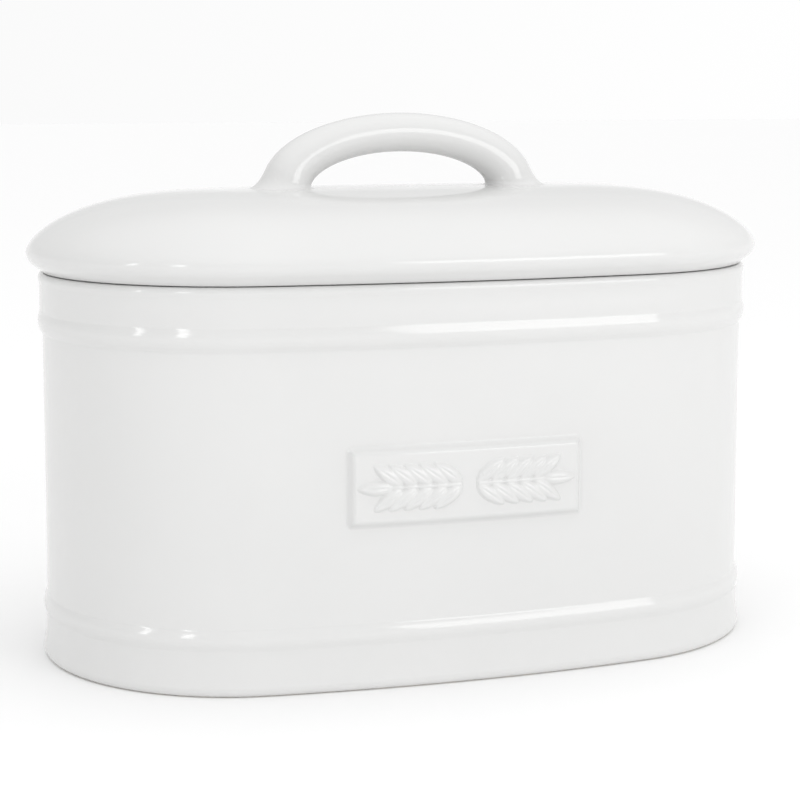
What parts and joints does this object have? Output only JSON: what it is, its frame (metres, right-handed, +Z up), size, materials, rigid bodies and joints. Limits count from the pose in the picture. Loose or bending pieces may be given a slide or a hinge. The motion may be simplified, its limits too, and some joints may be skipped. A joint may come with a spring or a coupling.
{
  "type": "bread crock",
  "caption": "Oval glazed ceramic bread crock with banded walls, a raised front panel and a domed lift-off lid with an arched handle.",
  "frame": {"origin": "on the table top, under the middle of the oval footprint", "axes": "+X along the crock's length, +Z up through the handle, -Y out of the front that carries the raised panel"},
  "size_m": [0.3544, 0.2044, 0.2514],
  "materials": {
    "crock_glaze": "thick glossy white glaze, bare clay on the foot ring",
    "lid_glaze": "thick glossy white glaze"
  },
  "bodies": {
    "crock": {"crock_body": "crock_glaze", "label_plaque": "crock_glaze", "wheat_sprig_left": "crock_glaze", "wheat_sprig_right": "crock_glaze"},
    "lid": {"lid_dome": "lid_glaze", "lid_locating_flange": "lid_glaze", "lid_handle": "lid_glaze"}
  },
  "joints": [
    {"name": "lid_lift", "type": "slide", "parent": "crock", "child": "lid", "axis": [0, 0, 1], "range_m": [0, 0.15]}
  ]
}
